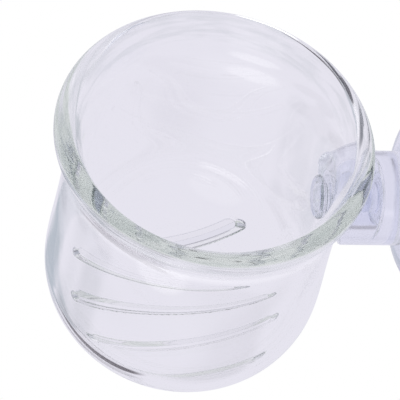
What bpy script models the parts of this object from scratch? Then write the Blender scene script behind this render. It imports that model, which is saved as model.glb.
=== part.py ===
# Hanging glass planter: a blown glass pot with a flared, fire-polished lip and a slotted
# base, held by one clear suction cup whose soft button is pushed through a hole in the wall.
#
# Units are metres. The origin is the middle of the suction cup's sealing face. +X points
# out of that face, towards the pane that the planter hangs on, and +Z is up.

import bpy
import bmesh
from math import asin, atan2, cos, hypot, pi, radians, sin, sqrt, tan
from mathutils import Matrix

# Glass pot, with heights counted from the belly's widest line
belly_radius = 0.0300
base_depth = 0.0240
neck_radius = 0.0285
neck_rise = 0.0240
lip_radius = 0.0310
lip_rise = 0.0440
lip_flare = radians(30)
bead_radius = 0.0022
wall = 0.0023

# Drainage slots, ground in from below with a thin round blade. Their row lies a little to
# one side of the pot's axis and is turned a little from the suction cup's axis.
slot_count = 4
slot_pitch = 0.0120
slot_shift = -0.0030
slot_turn = radians(9)
slot_width = 0.0022
slot_climb = 0.0145
blade_radius = 0.0600

# Hole in the wall for the suction cup's button
hole_rise = 0.0240
hole_radius = 0.0034

# Suction cup: disc, shank with a hollow end, and the button that it is held by
disc_radius = 0.0200
disc_depth = 0.0065
rim_thickness = 0.0010
land_width = 0.0025
dish_depth = 0.0040
shoulder_width = 0.0008
shank_radius = 0.0098
shank_length = 0.0135
shank_round = 0.0008
socket_wall = 0.0039
socket_depth = 0.0075
button_lip = 0.0012
button_depth = 0.0016

# Gap that is kept between the glass and the soft plastic, and how far the pot swivels each way
seat_gap = 0.0003
swivel = radians(20)
swivel_steps = 8

# Smoothness of the turned shapes
pot_segments = 64
cup_segments = 48
blade_segments = 160
hole_segments = 24
belly_steps = 12
neck_steps = 7
flare_steps = 6
bead_steps = 8
dish_steps = 7
rim_steps = 4
dome_steps = 9
round_steps = 5
floor_steps = 6
button_steps = 6
merge_distance = 0.000001
sharp_angle = radians(35)

# Clear materials: colour, roughness and index of refraction
glass_look = ((0.93, 0.93, 0.97), 0.02, 1.47)
soft_plastic_look = ((0.86, 0.87, 0.93), 0.12, 1.50)


def arc(centre, radius, start, end, steps):
    """Points of an arc, as (radius from the axis, place along it), between two angles."""
    points = []
    for i in range(steps + 1):
        angle = start + (end - start) * i / steps
        points.append((centre[0] + radius * cos(angle), centre[1] + radius * sin(angle)))
    return points


def ease(start, end, t):
    """Value that leaves start level and reaches end level."""
    return start + (end - start) * (1 - cos(pi * t)) / 2


def sweep(start, end, end_slope, t):
    """Value that leaves start level and reaches end with the given slope."""
    return start + (3 * t**2 - 2 * t**3) * (end - start) + (t**3 - t**2) * end_slope


def flare_radius(narrow, mouth, t):
    """Radius of the wall between the neck and the point where it meets the lip's bead."""
    return sweep(narrow, mouth[0], tan(lip_flare) * (mouth[1] - neck_rise), t)


def wall_outline(belly, base, narrow, mouth):
    """One side of the glass, from the middle of the base up to the lip's bead."""
    points = []
    for i in range(belly_steps + 1):
        angle = pi / 2 * i / belly_steps
        points.append((belly * sin(angle), -base * cos(angle)))
    for i in range(1, neck_steps + 1):
        t = i / neck_steps
        points.append((ease(belly, narrow, t), neck_rise * t))
    for i in range(1, flare_steps):
        t = i / flare_steps
        points.append((flare_radius(narrow, mouth, t), neck_rise + (mouth[1] - neck_rise) * t))
    return points


# Fire-polished bead of the lip, from its outside over the top to its inside
bead_centre = (lip_radius - bead_radius, lip_rise)
bead = arc(bead_centre, bead_radius, -lip_flare, pi - lip_flare, bead_steps)


def pot_outline():
    """Outline of the glass, up the outside, over the lip and down the inside."""
    outside = wall_outline(belly_radius, base_depth, neck_radius, bead[0])
    inside = wall_outline(belly_radius - wall, base_depth - wall, neck_radius - wall, bead[-1])
    return outside + bead + inside[::-1]


def outer_radius(height):
    """Outside radius of the glass at a height between the base and the lip."""
    if height <= 0:
        return belly_radius * sqrt(1 - (height / base_depth)**2)
    if height <= neck_rise:
        return ease(belly_radius, neck_radius, height / neck_rise)
    t = (height - neck_rise) / (bead[0][1] - neck_rise)
    return flare_radius(neck_radius, bead[0], min(t, 1))


def wall_reach(radius, turn, thickness=0):
    """How far the wall reaches from the pot's axis, at a point on a ring about the hole."""
    surface = outer_radius(hole_rise + radius * sin(turn)) - thickness
    return sqrt(surface**2 - (radius * cos(turn))**2)


def reaches_round(radius, thickness=0):
    """Reach of the wall at every step round a ring about the hole."""
    turns = [2 * pi * i / cup_segments for i in range(cup_segments)]
    return [wall_reach(radius, turn, thickness) for turn in turns]


def swept_reach(radius, turn):
    """Furthest that the wall reaches at a point, as the pot swivels to both its limits."""
    turns = [turn + swivel * (2 * i / swivel_steps - 1) for i in range(swivel_steps + 1)]
    return max(wall_reach(radius, each) for each in turns)


# Places along the suction cup's axis, worked out from the face back to the button
shoulder_x = -disc_depth
shank_end_x = shoulder_x - shank_length
pot_axis_x = shank_end_x - seat_gap - max(reaches_round(shank_radius))
stem_radius = hole_radius - seat_gap
socket_radius = shank_radius - socket_wall
button_radius = hole_radius + button_lip
button_x = pot_axis_x + min(reaches_round(button_radius, wall)) - seat_gap


def dish_outline():
    """Hollow of the suction face, from its deep middle out to the flat land at the rim."""
    edge = disc_radius - rim_thickness / 2 - land_width
    sphere = (edge**2 + dish_depth**2) / (2 * dish_depth)
    spread = asin(edge / sphere)
    return arc((0, sphere - dish_depth), sphere, -pi / 2, -pi / 2 + spread, dish_steps)


def cup_outline():
    """Outline of the suction cup, from the middle of its face round to its button."""
    half_rim = rim_thickness / 2
    points = dish_outline()
    points += arc((disc_radius - half_rim, -half_rim), half_rim, pi / 2, 0, rim_steps)
    # Domed back of the disc, from its rim in to the shoulder
    shoulder_radius = shank_radius + shoulder_width
    for i in range(1, dome_steps + 1):
        angle = pi / 2 * i / dome_steps
        dome_radius = shoulder_radius + (disc_radius - shoulder_radius) * cos(angle)
        points.append((dome_radius, -half_rim + (shoulder_x + half_rim) * sin(angle)))
    points.append((shank_radius, shoulder_x))
    round_centre = (shank_radius - shank_round, shank_end_x + shank_round)
    points += arc(round_centre, shank_round, 0, -pi / 2, round_steps)
    # Hollow inside the shank's end, which lets the soft ring follow the glass
    floor_x = shank_end_x + socket_depth
    floor_round = (socket_radius - stem_radius) / 2
    floor_centre = (socket_radius - floor_round, floor_x - floor_round)
    points.append((socket_radius, shank_end_x))
    points += arc(floor_centre, floor_round, 0, pi, floor_steps)
    # Stem through the glass and the rounded button that holds it there
    edge = button_depth / 2
    edge_centre = (button_radius - edge, button_x - edge)
    points.append((stem_radius, button_x))
    points += arc(edge_centre, edge, pi / 2, -pi / 2, button_steps)
    points.append((0, button_x - button_depth))
    return points


def turned_mesh(name, outline, segments):
    """Mesh made by turning an outline once round the Z axis."""
    bm = bmesh.new()
    verts = [bm.verts.new((radius, 0, along)) for radius, along in outline]
    edges = [bm.edges.new(pair) for pair in zip(verts, verts[1:])]
    bmesh.ops.spin(
        bm,
        geom=verts + edges,
        cent=(0, 0, 0),
        axis=(0, 0, 1),
        angle=2 * pi,
        steps=segments,
        use_merge=True,
    )
    bmesh.ops.remove_doubles(bm, verts=bm.verts, dist=merge_distance)
    bmesh.ops.recalc_face_normals(bm, faces=bm.faces)
    mesh = bpy.data.meshes.new(name)
    bm.to_mesh(mesh)
    bm.free()
    mesh.shade_smooth()
    mesh.set_sharp_from_angle(angle=sharp_angle)
    return mesh


def bar_mesh(name, radius, length, segments):
    """Mesh of a plain round bar along the Z axis."""
    bm = bmesh.new()
    bmesh.ops.create_cone(
        bm,
        cap_ends=True,
        segments=segments,
        radius1=radius,
        radius2=radius,
        depth=length,
    )
    mesh = bpy.data.meshes.new(name)
    bm.to_mesh(mesh)
    bm.free()
    return mesh


def place(mesh, location, turn=(0, 0, 0)):
    """Object named after its mesh, turned and put in its place."""
    obj = bpy.data.objects.new(mesh.name, mesh)
    obj.location = location
    obj.rotation_euler = turn
    bpy.context.scene.collection.objects.link(obj)
    return obj


def cut(obj, cutter):
    """Take the cutter's shape out of the object."""
    cutter.hide_render = True
    cutter.display_type = 'WIRE'
    modifier = obj.modifiers.new(cutter.name, 'BOOLEAN')
    modifier.operation = 'DIFFERENCE'
    modifier.solver = 'EXACT'
    modifier.object = cutter


def clear_material(name, colour, roughness, ior):
    """See-through Principled material."""
    material = bpy.data.materials.new(name)
    material.use_nodes = True
    shader = material.node_tree.nodes['Principled BSDF']
    shader.inputs['Base Color'].default_value = (*colour, 1)
    shader.inputs['Metallic'].default_value = 0
    shader.inputs['Roughness'].default_value = roughness
    shader.inputs['Transmission Weight'].default_value = 1
    shader.inputs['IOR'].default_value = ior
    return material


def build_pot():
    """Blown glass pot, with its slots and the hole for the suction cup's button."""
    belly_z = -hole_rise
    mesh = turned_mesh('glass_pot', pot_outline(), pot_segments)
    mesh.transform(Matrix.Translation((0, 0, belly_z)))
    mesh.materials.append(clear_material('glass', *glass_look))
    pot = place(mesh, (pot_axis_x, 0, 0))
    blade_z = belly_z - base_depth + slot_climb - blade_radius
    for i in range(slot_count):
        across = (i - (slot_count - 1) / 2) * slot_pitch + slot_shift
        blade_x = pot_axis_x - across * sin(slot_turn)
        blade_y = across * cos(slot_turn)
        blade = bar_mesh(f'blade_{i + 1}', blade_radius, slot_width, blade_segments)
        cut(pot, place(blade, (blade_x, blade_y, blade_z), (pi / 2, 0, slot_turn)))
    drill = bar_mesh('drill', hole_radius, wall + 2 * hole_radius, hole_segments)
    drill_x = pot_axis_x + outer_radius(hole_rise) - wall / 2
    cut(pot, place(drill, (drill_x, 0, 0), (0, pi / 2, 0)))


def seat_on_glass(mesh):
    """Draw the soft ring at the shank's end out until it follows the curved glass."""
    for vertex in mesh.vertices:
        x, y, z = vertex.co
        radius = hypot(y, z)
        in_ring = socket_radius - seat_gap < radius and x < shank_end_x + 2 * shank_round
        if in_ring:
            seat_x = pot_axis_x + swept_reach(radius, atan2(z, y)) + seat_gap
            vertex.co.x += seat_x - shank_end_x


def build_cup():
    """Clear soft suction cup, moulded in one piece with its shank, stem and button."""
    mesh = turned_mesh('suction_cup', cup_outline(), cup_segments)
    mesh.transform(Matrix.Rotation(pi / 2, 4, 'Y'))
    seat_on_glass(mesh)
    mesh.materials.append(clear_material('soft_plastic', *soft_plastic_look))
    place(mesh, (0, 0, 0))


for old in list(bpy.data.objects):
    bpy.data.objects.remove(old)
build_pot()
build_cup()
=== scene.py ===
import bpy
import bmesh
from math import asin, atan2, comb, cos, hypot, pi, radians, sin, sqrt, tan
from mathutils import Matrix, Vector
from mathutils.kdtree import KDTree


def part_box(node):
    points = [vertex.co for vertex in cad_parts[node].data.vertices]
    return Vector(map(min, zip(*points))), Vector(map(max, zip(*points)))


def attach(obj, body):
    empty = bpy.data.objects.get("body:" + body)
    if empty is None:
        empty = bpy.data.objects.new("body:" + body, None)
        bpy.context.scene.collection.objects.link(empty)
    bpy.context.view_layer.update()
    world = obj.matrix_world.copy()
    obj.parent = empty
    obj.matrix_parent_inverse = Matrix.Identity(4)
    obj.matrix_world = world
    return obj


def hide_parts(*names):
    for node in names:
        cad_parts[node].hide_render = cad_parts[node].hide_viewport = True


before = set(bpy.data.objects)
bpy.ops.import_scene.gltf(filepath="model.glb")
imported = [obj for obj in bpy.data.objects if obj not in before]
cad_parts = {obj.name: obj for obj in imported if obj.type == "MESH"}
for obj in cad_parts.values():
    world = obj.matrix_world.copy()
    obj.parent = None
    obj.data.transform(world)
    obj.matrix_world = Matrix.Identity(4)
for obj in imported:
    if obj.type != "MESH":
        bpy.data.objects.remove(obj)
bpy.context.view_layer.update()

# Camera: looks steeply down into the pot's mouth from in front of the pane, rolled a little,
# from 30 cm away. Everything is placed by the frame, whose origin is the middle of the
# suction cup's face.
pot_low, pot_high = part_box("glass_pot")
pot_axis_x = (pot_low[0] + pot_high[0]) / 2
hole_rise = 0.0240
belly_middle = Vector((pot_axis_x, 0, -hole_rise))
camera_bearing = radians(-17.1)
camera_lean = radians(35.5)
camera_roll = radians(15)
camera_place = (0.00348, 0.01242, 0.300)
camera_turn = (
    Matrix.Rotation(camera_bearing, 4, "Z")
    @ Matrix.Rotation(camera_lean, 4, "X")
    @ Matrix.Rotation(camera_roll, 4, "Z")
)
camera_data = bpy.data.cameras.new("camera")
camera_data.lens = 124.7
camera_data.sensor_width = 36
camera_data.clip_start = 0.01
camera = bpy.data.objects.new("camera", camera_data)
camera.matrix_world = (
    Matrix.Translation(belly_middle) @ camera_turn @ Matrix.Translation(camera_place)
)
bpy.context.scene.collection.objects.link(camera)
bpy.context.scene.camera = camera

# Glass pot: clear glass, blown into a round-bottomed cup with a slight waist and a flaring
# mouth, whose cut edge was melted back into a thick round lip. Four slots were then ground
# up into its base with a thin round wheel, and one hole was drilled through its wall.
belly_radius = 0.0300
base_depth = 0.0240
lip_radius = 0.0310
lip_rise = 0.0440
lip_flare = radians(30)
bead_radius = 0.0022
wall = 0.0023

# Radii that pull the wall into one smooth curve, outside and inside, from the belly to the lip
outside_pulls = (0.0300, 0.0300, 0.02864, 0.02853, 0.02860)
inside_pulls = (0.0277, 0.0277, 0.02620, 0.02645, 0.02640)
pot_steps = 36
pot_segments = 192
smooth_steps = 400

# Points closer together than this are one point
speck = 0.000001


def arc(centre, radius, start, end, steps):
    """Points of an arc, as (radius from the axis, place along it), between two angles."""
    points = []
    for i in range(steps + 1):
        angle = start + (end - start) * i / steps
        points.append((centre[0] + radius * cos(angle), centre[1] + radius * sin(angle)))
    return points


def wall_radius(pulls, part):
    """Radius of the wall, part of the way from the belly to the lip, as its pulls shape it."""
    last = len(pulls) - 1
    shares = [comb(last, i) * part**i * (1 - part)**(last - i) for i in range(last + 1)]
    return sum(share * pull for share, pull in zip(shares, pulls))


def wall_outline(pulls, base, mouth_rise, steps):
    """One side of the glass, from the middle of the base up to the lip."""
    points = []
    for i in range(steps + 1):
        angle = pi / 2 * i / steps
        points.append((pulls[0] * sin(angle), -base * cos(angle)))
    for i in range(1, 2 * steps):
        points.append((wall_radius(pulls, i / steps / 2), mouth_rise * i / steps / 2))
    return points


bead_centre = (lip_radius - bead_radius, lip_rise)


def wall_pulls(pulls, mouth):
    """The wall's pulls, with the two that lead it into the lip at the lip's own slope."""
    return (*pulls, mouth[0] - tan(lip_flare) * mouth[1] / (len(pulls) + 1), mouth[0])


def pot_outline(steps):
    """Outline of the glass, up the outside, over the lip and down the inside."""
    bead = arc(bead_centre, bead_radius, -lip_flare, pi - lip_flare, steps)
    outside = wall_outline(wall_pulls(outside_pulls, bead[0]), base_depth, bead[0][1], steps)
    inside_base = base_depth - wall
    inside = wall_outline(wall_pulls(inside_pulls, bead[-1]), inside_base, bead[-1][1], steps)
    return outside + bead + inside[::-1]


def outer_radius(height):
    """Outside radius of the glass at a height between the base and the lip."""
    if height <= 0:
        return belly_radius * sqrt(1 - (height / base_depth)**2)
    mouth = arc(bead_centre, bead_radius, -lip_flare, 0, 1)[0]
    return wall_radius(wall_pulls(outside_pulls, mouth), min(height / mouth[1], 1))


def turned(name, outline, segments):
    """Object made by turning an outline once round the Z axis."""
    bm = bmesh.new()
    verts = [bm.verts.new((radius, 0, along)) for radius, along in outline]
    edges = [bm.edges.new(pair) for pair in zip(verts, verts[1:])]
    bmesh.ops.spin(
        bm,
        geom=verts + edges,
        cent=(0, 0, 0),
        axis=(0, 0, 1),
        angle=2 * pi,
        steps=segments,
        use_merge=True,
    )
    bmesh.ops.remove_doubles(bm, verts=bm.verts, dist=speck)
    bmesh.ops.recalc_face_normals(bm, faces=bm.faces)
    mesh = bpy.data.meshes.new(name)
    bm.to_mesh(mesh)
    bm.free()
    obj = bpy.data.objects.new(name, mesh)
    bpy.context.scene.collection.objects.link(obj)
    return obj


def cut_away(obj, tools):
    """Take each tool's shape out of the object's mesh, then remove the tools and the slivers."""
    for tool in tools:
        modifier = obj.modifiers.new(tool.name, "BOOLEAN")
        modifier.operation = "DIFFERENCE"
        modifier.solver = "EXACT"
        modifier.object = tool
    bpy.context.view_layer.update()
    evaluated = obj.evaluated_get(bpy.context.evaluated_depsgraph_get())
    old = obj.data
    obj.data = bpy.data.meshes.new_from_object(evaluated)
    obj.modifiers.clear()
    bpy.data.meshes.remove(old)
    for tool in tools:
        bpy.data.objects.remove(tool)
    bm = bmesh.new()
    bm.from_mesh(obj.data)
    bmesh.ops.dissolve_degenerate(bm, dist=speck, edges=bm.edges)
    bm.to_mesh(obj.data)
    bm.free()


slot_count = 4
slot_pitch = 0.0120
slot_shift = -0.0030
slot_turn = radians(9)
slot_width = 0.0022
slot_climb = 0.0145
wheel_radius = 0.0600
wheel_segments = 640
rim_steps = 16
hole_radius = 0.0034
drill_reach = 0.0200
drill_segments = 64
glass_sharp = radians(30)
blown_match = 0.9
half_slot = slot_width / 2
across_way = Matrix.Rotation(slot_turn, 3, "Z") @ Vector((0, 1, 0))
wheel_middle = belly_middle + Vector((0, 0, slot_climb - base_depth - wheel_radius))
first_slot = wheel_middle + across_way * (slot_shift - slot_pitch * (slot_count - 1) / 2)


def polish(mesh, outline):
    """Mark the ground faces, and give the blown faces the exact normals of their shape."""
    tree = KDTree(len(outline) - 1)
    slopes = []
    for i, (start, end) in enumerate(zip(outline, outline[1:])):
        tree.insert(((start[0] + end[0]) / 2, (start[1] + end[1]) / 2, 0), i)
        slopes.append(Vector((end[1] - start[1], start[0] - end[0], 0)).normalized())
    tree.balance()

    def skin_normal(point):
        offset = point - belly_middle
        radius = hypot(offset.x, offset.y)
        slope = slopes[tree.find((radius, offset.z, 0))[1]]
        across = slope.x / max(radius, speck)
        return Vector((offset.x * across, offset.y * across, slope.y)).normalized()

    mesh.shade_smooth()
    mesh.set_sharp_from_angle(angle=glass_sharp)
    ground = mesh.attributes.new("ground", "FLOAT", "FACE")
    normals = [Vector((0, 0, 0))] * len(mesh.loops)
    for face in mesh.polygons:
        if face.normal.dot(skin_normal(face.center)) < blown_match:
            ground.data[face.index].value = 1
            continue
        for i in face.loop_indices:
            normals[i] = skin_normal(mesh.vertices[mesh.loops[i].vertex_index].co)
    mesh.normals_split_custom_set(normals)


pot = turned("pot_glass", pot_outline(pot_steps), pot_segments)
pot.data.transform(Matrix.Translation(belly_middle))
tools = []
for i in range(slot_count):
    rim = arc((wheel_radius - half_slot, 0), half_slot, -pi / 2, pi / 2, rim_steps)
    wheel_outline = [(0, -half_slot)] + rim + [(0, half_slot)]
    wheel = turned(f"wheel_{i + 1}", wheel_outline, wheel_segments)
    wheel.data.transform(Matrix.Rotation(pi / 2, 4, "X"))
    wheel.data.transform(Matrix.Rotation(slot_turn, 4, "Z"))
    wheel.data.transform(Matrix.Translation(first_slot + across_way * slot_pitch * i))
    tools.append(wheel)
drill_side = [(hole_radius, -drill_reach), (hole_radius, drill_reach)]
drill_outline = [(0, -drill_reach)] + drill_side + [(0, drill_reach)]
drill = turned("drill", drill_outline, drill_segments)
drill.data.transform(Matrix.Rotation(pi / 2, 4, "Y"))
drill.data.transform(Matrix.Translation((pot_axis_x + belly_radius, 0, 0)))
cut_away(pot, tools + [drill])
polish(pot.data, pot_outline(smooth_steps))


def node(material, kind, **values):
    """Add a node to the material and set its properties."""
    made = material.node_tree.nodes.new(kind)
    for name, value in values.items():
        setattr(made, name, value)
    return made


def step(material, kind, *fed, **values):
    """Add a node fed by numbers or by other nodes, and return its own output."""
    made = node(material, kind, **values)
    for socket, value in zip([each for each in made.inputs if each.enabled], fed):
        if isinstance(value, bpy.types.NodeSocket):
            material.node_tree.links.new(value, socket)
        else:
            socket.default_value = value
    return next(each for each in made.outputs if each.enabled)


def number_math(material, operation, *fed):
    """Add a Math node and return its output."""
    return step(material, "ShaderNodeMath", *fed, operation=operation)


def vector_math(material, operation, *fed):
    """Add a Vector Math node and return its output."""
    return step(material, "ShaderNodeVectorMath", *fed, operation=operation)


def bump(material, strength, distance, height, *base):
    """Add a Bump node, over another's normal if one is given, and return its output."""
    made = node(material, "ShaderNodeBump")
    made.inputs["Distance"].default_value = distance
    if isinstance(strength, bpy.types.NodeSocket):
        material.node_tree.links.new(strength, made.inputs["Strength"])
    else:
        made.inputs["Strength"].default_value = strength
    material.node_tree.links.new(height, made.inputs["Height"])
    for normal in base:
        material.node_tree.links.new(normal, made.inputs["Normal"])
    return made.outputs["Normal"]


glass = bpy.data.materials.new("clear_glass")
glass.use_nodes = True
glass_shader = glass.node_tree.nodes["Principled BSDF"]
glass_shader.inputs["Transmission Weight"].default_value = 1
glass_shader.inputs["IOR"].default_value = 1.47

# Gap to the nearest slot's middle, in slot pitches
glass_place = node(glass, "ShaderNodeTexCoord").outputs["Object"]
in_slots = step(
    glass,
    "ShaderNodeMapping",
    glass_place,
    first_slot,
    (0, 0, slot_turn),
    (slot_pitch, slot_pitch, slot_pitch),
    vector_type="TEXTURE",
)
along_slots = node(glass, "ShaderNodeSeparateXYZ")
glass.node_tree.links.new(in_slots, along_slots.inputs[0])
slot_nearest = number_math(glass, "ROUND", along_slots.outputs["Y"])
slot_number = step(glass, "ShaderNodeClamp", slot_nearest, 0, slot_count - 1)
spoke = vector_math(glass, "LENGTH", vector_math(glass, "MULTIPLY", in_slots, (1, 0, 1)))
ramp_start = (wheel_radius - half_slot) / slot_pitch
past_start = number_math(glass, "SUBTRACT", spoke, ramp_start)
past_end = number_math(glass, "MAXIMUM", past_start, 0)
off_middle = number_math(glass, "SUBTRACT", along_slots.outputs["Y"], slot_number)
slot_reach = step(glass, "ShaderNodeCombineXYZ", off_middle, past_end, 0)
slot_gap = vector_math(glass, "LENGTH", slot_reach)

# Rounded, faintly matt edges where the wheel broke through, and a matt ramp at each end
edge_round = 0.00045
edge_line = 0.00022
edge_matt_and_shade = 0.8
ground_roughness = 0.15
# Painted shade: the edges and end ramps are also painted a dark blue-grey, for the dark lines
# along the slots and the grey blobs at their ends; their roughness is real
edge_painted_shade = (0.45, 0.47, 0.52, 1)
edge_start = half_slot / slot_pitch
round_end = edge_start + edge_round / slot_pitch
line_end = edge_start + edge_line / slot_pitch
edge_fall = step(glass, "ShaderNodeMapRange", slot_gap, edge_start, round_end, 0, pi / 2)
on_edge = step(glass, "ShaderNodeMapRange", slot_gap, line_end, edge_start, 0, edge_matt_and_shade)
on_ramp = step(glass, "ShaderNodeMapRange", past_end, 0, edge_start / 2, 0, 1)
ground_face = node(glass, "ShaderNodeAttribute", attribute_name="ground").outputs["Fac"]
matt_and_painted_shade = step(glass, "ShaderNodeMix", ground_face, on_edge, on_ramp)
glass_roughness = number_math(glass, "MULTIPLY", matt_and_painted_shade, ground_roughness)
glass.node_tree.links.new(glass_roughness, glass_shader.inputs["Roughness"])

# Slow waves all over from blowing, and fine streaks round the lip from melting it back
streak_turns = 4
streak_fineness = 1100
streak_detail = 1
streak_depth = 0.00003
streak_range = (0.38, 0.62)
# Painted shade: the lip is painted a darker grey-green along its streaks, for the dark lines seen
# through it
streak_painted_shade = (0.82, 0.845, 0.84, 1)
plain_colour = (1, 1, 1, 1)
wave_fineness = 35
wave_depth = 0.0002
lip_start = lip_rise - bead_radius
lip_end = lip_rise - bead_radius / 2
from_axis = vector_math(glass, "SUBTRACT", glass_place, belly_middle)
flat = vector_math(glass, "MULTIPLY", from_axis, (1, 1, 0))
around = vector_math(glass, "SCALE", vector_math(glass, "NORMALIZE", flat))
around.node.inputs["Scale"].default_value = streak_turns
streak_place = vector_math(glass, "MULTIPLY_ADD", from_axis, (0, 0, streak_fineness), around)
streak_radius = number_math(glass, "MULTIPLY", vector_math(glass, "LENGTH", flat), streak_fineness)
streaks = step(
    glass,
    "ShaderNodeTexNoise",
    streak_place,
    streak_radius,
    1,
    streak_detail,
    noise_dimensions="4D",
)
pot_height = node(glass, "ShaderNodeSeparateXYZ")
glass.node_tree.links.new(from_axis, pot_height.inputs[0])
on_lip = step(glass, "ShaderNodeMapRange", pot_height.outputs["Z"], lip_start, lip_end, 0, 1)
waves = step(glass, "ShaderNodeTexNoise", glass_place, wave_fineness, 0)
waved = bump(glass, 1, wave_depth, waves)
streaked = bump(glass, on_lip, streak_depth, streaks, waved)
rounded = bump(glass, 1, edge_round, number_math(glass, "SINE", edge_fall), streaked)
glass.node_tree.links.new(rounded, glass_shader.inputs["Normal"])
# Painted shade along the lip's streaks
streak_shade_share = step(glass, "ShaderNodeMapRange", streaks, *streak_range, 0, 1)
lip_shade_share = number_math(glass, "MULTIPLY", streak_shade_share, on_lip)
lip_painted_shade = step(
    glass, "ShaderNodeMix", lip_shade_share, plain_colour, streak_painted_shade, data_type="RGBA"
)
# Base colour: white glass, with the painted shade of the lip's streaks and of the slots' edges
glass_colour_and_painted_shade = step(glass, "ShaderNodeMix", matt_and_painted_shade, lip_painted_shade, edge_painted_shade, data_type="RGBA")
glass.node_tree.links.new(glass_colour_and_painted_shade, glass_shader.inputs["Base Color"])

# Faint grey-green of common glass, seen where the light runs a long way through it
glass_depth = node(glass, "ShaderNodeVolumeAbsorption")
glass_depth.inputs["Color"].default_value = (0.62, 0.68, 0.66, 1)
glass_depth.inputs["Density"].default_value = 2.5
glass_output = glass.node_tree.nodes["Material Output"]
glass.node_tree.links.new(glass_depth.outputs["Volume"], glass_output.inputs["Volume"])
pot.data.materials.clear()
pot.data.materials.append(glass)
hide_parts("glass_pot")
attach(pot, "pot")

# Suction cup: clear soft plastic, moulded in one with its shank, hollow at the shank's end,
# and with a stem and a rounded button that are squeezed through the hole in the glass.
disc_radius = 0.0200
disc_depth = 0.0065
rim_thickness = 0.0010
land_width = 0.0025
dish_depth = 0.0040
shoulder_width = 0.0008
shank_radius = 0.0098
shank_length = 0.0135
shank_round = 0.0008
socket_wall = 0.0039
socket_depth = 0.0075
button_lip = 0.0012
button_depth = 0.0016
seat_gap = 0.0003
face_steps = 24
edge_steps = 10
dome_steps = 32
shank_steps = 16
ring_steps = 8
bend_steps = 16
sweep_steps = 8
button_steps = 16
cup_segments = 128
cup_sharp = radians(35)
shoulder_x = -disc_depth
shank_end_x = shoulder_x - shank_length
stem_radius = hole_radius - seat_gap
socket_radius = shank_radius - socket_wall
button_radius = hole_radius + button_lip
swivel = radians(20)


def wall_reach(radius, turn, thickness=0):
    """How far the wall reaches from the pot's axis, at a point on a ring about the hole."""
    surface = outer_radius(hole_rise + radius * sin(turn)) - thickness
    return sqrt(surface**2 - (radius * cos(turn))**2)


def swept_reach(radius, turn):
    """Furthest that the wall reaches at a point, as the pot swivels to both its limits."""
    sweep = [swivel * (2 * i / sweep_steps - 1) for i in range(sweep_steps + 1)]
    return max(wall_reach(radius, turn + swing) for swing in sweep)


button_turns = [2 * pi * i / button_steps for i in range(button_steps)]
inner_reach = min(wall_reach(button_radius, turn, wall) for turn in button_turns)
button_x = pot_axis_x + inner_reach - seat_gap
edge = disc_radius - rim_thickness / 2 - land_width
sphere = (edge**2 + dish_depth**2) / (2 * dish_depth)
face_end = asin(edge / sphere) - pi / 2
cup_outline = arc((0, sphere - dish_depth), sphere, -pi / 2, face_end, face_steps)
half_rim = rim_thickness / 2
cup_outline += arc((disc_radius - half_rim, -half_rim), half_rim, pi / 2, 0, edge_steps)
shoulder_radius = shank_radius + shoulder_width
for i in range(1, dome_steps + 1):
    dome_turn = pi * i / dome_steps / 2
    dome_radius = shoulder_radius + (disc_radius - shoulder_radius) * cos(dome_turn)
    cup_outline.append((dome_radius, -half_rim + (shoulder_x + half_rim) * sin(dome_turn)))
cup_outline.append((shank_radius, shoulder_x))
for i in range(1, shank_steps - 1):
    cup_outline.append((shank_radius, shoulder_x - shank_length * i / shank_steps))
round_centre = (shank_radius - shank_round, shank_end_x + shank_round)
cup_outline += arc(round_centre, shank_round, 0, -pi / 2, ring_steps)
for i in range(1, ring_steps + 1):
    ring_radius = socket_radius + (socket_wall - shank_round) * (1 - i / ring_steps)
    cup_outline.append((ring_radius, shank_end_x))
socket_round = (socket_radius - stem_radius) / 2
socket_centre = (socket_radius - socket_round, shank_end_x + socket_depth - socket_round)
cup_outline += arc(socket_centre, socket_round, 0, pi, bend_steps)
half_button = button_depth / 2
button_centre = (button_radius - half_button, button_x - half_button)
cup_outline.append((stem_radius, button_x))
cup_outline += arc(button_centre, half_button, pi / 2, -pi / 2, bend_steps)
cup_outline.append((0, button_x - button_depth))
cup = turned("suction_cup_soft", cup_outline, cup_segments)
cup.data.transform(Matrix.Rotation(pi / 2, 4, "Y"))
for vertex in cup.data.vertices:
    radius = hypot(vertex.co.y, vertex.co.z)
    if socket_radius - seat_gap < radius and vertex.co.x < shank_end_x + 2 * shank_round:
        seat_x = pot_axis_x + swept_reach(radius, atan2(vertex.co.z, vertex.co.y)) + seat_gap
        vertex.co.x += seat_x - shank_end_x
cup.data.shade_smooth()
cup.data.set_sharp_from_angle(angle=cup_sharp)

soft_plastic = bpy.data.materials.new("soft_clear_plastic")
soft_plastic.use_nodes = True
plastic_shader = soft_plastic.node_tree.nodes["Principled BSDF"]
plastic_shader.inputs["Transmission Weight"].default_value = 1
plastic_shader.inputs["IOR"].default_value = 1.50

# Cloudy in places, with faint flow lines round the shank from the mould
cloud_fineness = 160
cloud_detail = 3
cloud_range = (0.3, 0.7)
haze_range = (0.06, 0.18)
clear_colour = (0.92, 0.93, 0.98, 1)
cloudy_colour = (0.85, 0.87, 0.96, 1)
flow_fineness = 900
flow_detail = 2
flow_stretch = (1, 0.15, 0.15)
flow_depth = 0.00002
plastic_place = node(soft_plastic, "ShaderNodeTexCoord").outputs["Object"]
clouds = step(soft_plastic, "ShaderNodeTexNoise", plastic_place, cloud_fineness, cloud_detail)
plastic_tint = step(
    soft_plastic, "ShaderNodeMix", clouds, clear_colour, cloudy_colour, data_type="RGBA"
)
plastic_haze = step(soft_plastic, "ShaderNodeMapRange", clouds, *cloud_range, *haze_range)
flow_place = vector_math(soft_plastic, "MULTIPLY", plastic_place, flow_stretch)
flow_lines = step(soft_plastic, "ShaderNodeTexNoise", flow_place, flow_fineness, flow_detail)
links = soft_plastic.node_tree.links
links.new(plastic_tint, plastic_shader.inputs["Base Color"])
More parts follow.
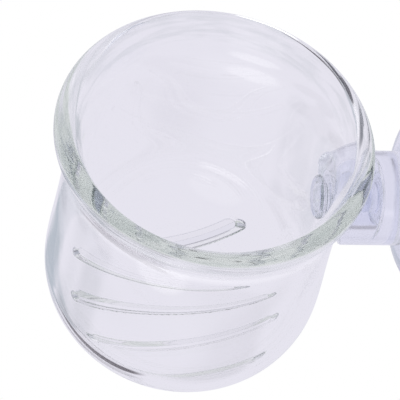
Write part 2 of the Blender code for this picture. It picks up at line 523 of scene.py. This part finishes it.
links.new(plastic_haze, plastic_shader.inputs["Roughness"])
links.new(bump(soft_plastic, 1, flow_depth, flow_lines), plastic_shader.inputs["Normal"])
cup.data.materials.append(soft_plastic)
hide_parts("suction_cup")
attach(cup, "cup")

# Floor: a wide sheet of white paper under the hanging pot, with a pale lilac painted shadow where
# a lamp near the camera would throw the pot's shadow. Glass shows the light tent through the
# paper.
floor_drop = 0.06
floor_radius = 1.5
floor_segments = 96
white_paper = (1, 1, 1, 1)
# Painted shadow: the colour, size, softness and place of the soft pool painted into the paper
painted_shadow_colour = (0.74, 0.73, 0.82, 1)
shade_size = (0.0213, 0.0293, 1)
shade_softness = 0.35
shade_shift = (0.001, -0.001, 0)
sight = camera_turn @ Vector((0, 0, -1))
shade_start = belly_middle + camera_turn @ Vector(shade_shift)
shade_middle = shade_start + sight * ((-floor_drop - shade_start.z) / sight.z)

bm = bmesh.new()
bmesh.ops.create_circle(bm, cap_ends=True, segments=floor_segments, radius=floor_radius)
bmesh.ops.translate(bm, verts=bm.verts, vec=(pot_axis_x, 0, -floor_drop))
floor_mesh = bpy.data.meshes.new("floor")
bm.to_mesh(floor_mesh)
bm.free()
floor = bpy.data.objects.new("floor", floor_mesh)
bpy.context.scene.collection.objects.link(floor)

paper = bpy.data.materials.new("white_paper")
paper.use_nodes = True
paper.node_tree.nodes.remove(paper.node_tree.nodes["Principled BSDF"])
paper_place = node(paper, "ShaderNodeTexCoord")
shade_place = node(paper, "ShaderNodeMapping", vector_type="TEXTURE")
shade_place.inputs["Location"].default_value = shade_middle
shade_place.inputs["Rotation"].default_value = (0, 0, atan2(sight.y, sight.x) - pi / 2)
shade_place.inputs["Scale"].default_value = shade_size
shade_ball = node(paper, "ShaderNodeTexGradient", gradient_type="SPHERICAL")
shade_edge = node(paper, "ShaderNodeMapRange", interpolation_type="SMOOTHSTEP")
shade_edge.inputs["From Max"].default_value = shade_softness
# The paper's colour: white, with the painted shadow mixed in, shown only to camera rays
paper_and_painted_shadow = node(paper, "ShaderNodeMix", data_type="RGBA")
paper_and_painted_shadow.inputs[6].default_value = white_paper
paper_and_painted_shadow.inputs[7].default_value = painted_shadow_colour
paper_glow = node(paper, "ShaderNodeEmission")
paper_gone = node(paper, "ShaderNodeBsdfTransparent")
paper_ray = node(paper, "ShaderNodeLightPath")
paper_mix = node(paper, "ShaderNodeMixShader")
links = paper.node_tree.links
links.new(paper_place.outputs["Object"], shade_place.inputs["Vector"])
links.new(shade_place.outputs["Vector"], shade_ball.inputs["Vector"])
links.new(shade_ball.outputs["Fac"], shade_edge.inputs["Value"])
links.new(shade_edge.outputs["Result"], paper_and_painted_shadow.inputs["Factor"])
links.new(paper_and_painted_shadow.outputs[2], paper_glow.inputs["Color"])
links.new(paper_ray.outputs["Is Camera Ray"], paper_mix.inputs["Fac"])
links.new(paper_gone.outputs["BSDF"], paper_mix.inputs[1])
links.new(paper_glow.outputs["Emission"], paper_mix.inputs[2])
links.new(paper_mix.outputs["Shader"], paper.node_tree.nodes["Material Output"].inputs["Surface"])
floor_mesh.materials.append(paper)

# Light tent: pale lilac cloth on all sides, with a few soft lamps behind it and some dark
# cards, which draw the bright and the dark lines along the edges of the glass. Light that has
# crossed the glass many times is given one plain colour, so that the lip doesn't speckle.
tent_colour = (0.795, 0.78, 0.865, 1)
deep_colour = (0.72, 0.74, 0.75, 1)
deep_range = (8, 14)
most_bounces = 256

# Each card: the way to it, round the line of sight and away from it, its half length and half
# width, the turn of its length from straight outwards, its softness and its colour
tent_cards = [
    # Soft lamps over, behind and in front of the pot
    (93, 112, 24, 26, 0, 0.5, (0.85, 0.85, 0.9)),
    (60, 150, 14, 14, 0, 0.5, (0.9, 0.9, 0.9)),
    (243, 122, 25, 25, 0, 0.3, (1.15, 1.15, 1.2)),
    # Darker upper part of the tent
    (20, 92, 26, 50, 0, 0.7, (0.50, 0.52, 0.54)),
    (150, 95, 22, 30, 0, 0.7, (0.52, 0.54, 0.56)),
    # White gap and dark edge of the tent, that draw the lines along the far lip
    (243, 91, 7, 22, 0, 0.4, (2.3, 2.3, 2.3)),
    (201, 77, 7, 18, 0, 0.4, (0.03, 0.03, 0.05)),
    (188, 68, 9, 11, 0, 0.4, (0.05, 0.05, 0.07)),
    (170, 42, 13, 11, 0, 0.6, (0.07, 0.08, 0.11)),
    # Grey card below, that shades the right side of the belly
    (290, 62, 12, 34, 0, 0.6, (0.48, 0.47, 0.53)),
    # Grey and black cards, that draw the crescent inside the pot's left side
    (207, 42, 12, 8, 0, 0.6, (0.48, 0.50, 0.56)),
    (213, 58, 11, 9, 0, 0.6, (0.35, 0.37, 0.42)),
    (187, 28, 12, 11, 0, 0.3, (0.48, 0.52, 0.59)),
    (232, 36, 22, 5.5, 50, 0.4, (0.02, 0.01, 0.02)),
    # Grey card on the right, for the upper left of the inner wall
    (18, 30, 9, 12, 0, 0.5, (0.58, 0.60, 0.66)),
    # Paler patch behind the neck
    (71, 14, 6, 9, 0, 0.8, (0.88, 0.865, 0.945)),
]
world = bpy.data.worlds.new("light_tent")
world.use_nodes = True
bpy.context.scene.world = world
links = world.node_tree.links
tent_way = node(world, "ShaderNodeTexCoord")
tent = node(world, "ShaderNodeMix", data_type="RGBA")
tent.inputs[0].default_value = 0
tent.inputs[6].default_value = tent_colour
for turn, away, reach, spread, roll, softness, colour in tent_cards:
    facing = camera_turn @ Matrix.Rotation(radians(turn), 4, "Z")
    facing = facing @ Matrix.Rotation(radians(-away), 4, "Y")
    facing = facing @ Matrix.Rotation(radians(roll), 4, "Z")
    card_place = node(world, "ShaderNodeMapping", vector_type="TEXTURE")
    card_place.inputs["Location"].default_value = facing @ Vector((0, 0, -1))
    card_place.inputs["Rotation"].default_value = facing.to_euler()
    card_place.inputs["Scale"].default_value = (sin(radians(reach)), sin(radians(spread)), 2)
    card_ball = node(world, "ShaderNodeTexGradient", gradient_type="SPHERICAL")
    card_edge = node(world, "ShaderNodeMapRange", interpolation_type="SMOOTHSTEP")
    card_edge.inputs["From Max"].default_value = softness
    with_card = node(world, "ShaderNodeMix", data_type="RGBA")
    with_card.inputs[7].default_value = (*colour, 1)
    links.new(tent_way.outputs["Generated"], card_place.inputs["Vector"])
    links.new(card_place.outputs["Vector"], card_ball.inputs["Vector"])
    links.new(card_ball.outputs["Fac"], card_edge.inputs["Value"])
    links.new(card_edge.outputs["Result"], with_card.inputs[0])
    links.new(tent.outputs[2], with_card.inputs[6])
    tent = with_card
seen = node(world, "ShaderNodeLightPath")
deep_share = step(world, "ShaderNodeMapRange", seen.outputs["Ray Depth"], *deep_range, 0, 1)
tent_light = step(
    world, "ShaderNodeMix", deep_share, tent.outputs[2], deep_colour, data_type="RGBA"
)
seen_colour = node(world, "ShaderNodeMix", data_type="RGBA")
seen_colour.inputs[7].default_value = white_paper
links.new(seen.outputs["Is Camera Ray"], seen_colour.inputs[0])
links.new(tent_light, seen_colour.inputs[6])
links.new(seen_colour.outputs[2], world.node_tree.nodes["Background"].inputs["Color"])
bpy.context.scene.view_settings.view_transform = "Standard"
bpy.context.scene.cycles.max_bounces = most_bounces
bpy.context.scene.cycles.glossy_bounces = most_bounces
bpy.context.scene.cycles.transmission_bounces = most_bounces
